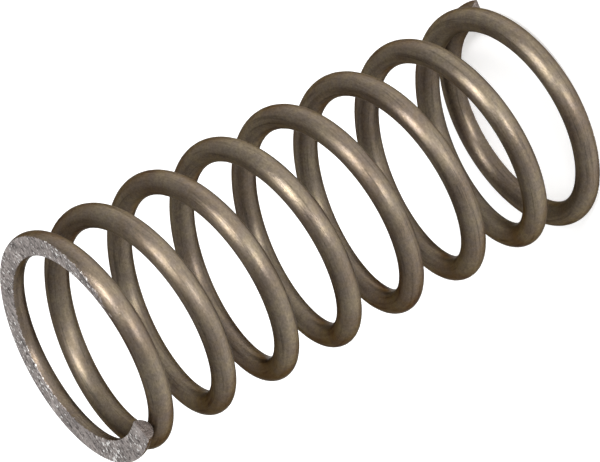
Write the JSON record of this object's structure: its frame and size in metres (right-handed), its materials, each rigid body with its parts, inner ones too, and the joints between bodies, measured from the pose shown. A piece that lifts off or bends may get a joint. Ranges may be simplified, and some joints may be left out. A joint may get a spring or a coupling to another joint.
{
  "type": "compression spring",
  "caption": "Small helical compression spring of round steel wire, right-hand wound, with closed and ground ends, for pushing two seats apart along a rod or in a pocket.",
  "frame": {"origin": "centre of the bottom ground face, on the coil axis", "axes": "+Z along the coil axis from the bottom ground face to the top one; +X is 16 degrees past the bottom wire tip, seen from above"},
  "size_m": [0.0201, 0.0201, 0.045],
  "materials": {
    "spring_steel": "drawn wire, heat-browned and semi-gloss, with bare grey ground ends"
  },
  "bodies": {
    "root": {"spring_wire": "spring_steel"}
  },
  "joints": []
}
